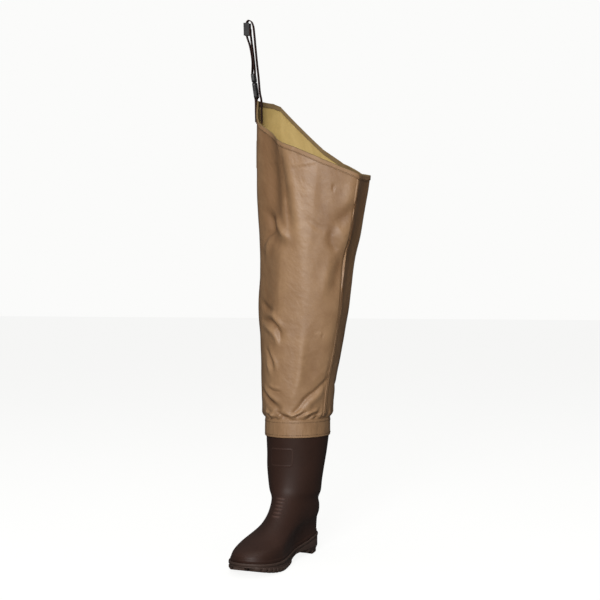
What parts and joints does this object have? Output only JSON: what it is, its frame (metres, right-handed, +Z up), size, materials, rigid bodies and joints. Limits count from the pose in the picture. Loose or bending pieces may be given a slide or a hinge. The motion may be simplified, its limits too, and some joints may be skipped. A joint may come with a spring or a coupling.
{
  "type": "hip wader",
  "caption": "Hip wader for the right leg: moulded rubber boot with lugged sole and heel, a gathered cuff, a long nylon leg with a slanting bound collar, and a belt strap with buckle and slider.",
  "frame": {"origin": "on the floor, at the middle of the heel's rounded tread", "axes": "+X towards the toe, +Y towards the inner side of the leg, +Z up"},
  "size_m": [0.3627, 0.2603, 1.0887],
  "materials": {
    "outsole": "matt moulded rubber",
    "upper": "matt moulded rubber with a soft sheen",
    "felt": "pressed felt",
    "nylon": "coated woven nylon",
    "binding": "woven binding tape",
    "webbing": "woven webbing",
    "buckle_plastic": "moulded plastic",
    "label": "plain woven patch"
  },
  "bodies": {
    "root": {"outsole": "outsole", "insole": "felt", "upper": "upper", "shaft": "nylon", "cuff_band": "nylon", "collar_binding": "binding", "inner_seam": "nylon", "side_label": "label", "belt_webbing": "webbing", "buckle_tab": "webbing", "buckle_female": "buckle_plastic", "buckle_male": "buckle_plastic", "strap_slider": "buckle_plastic"}
  },
  "joints": []
}
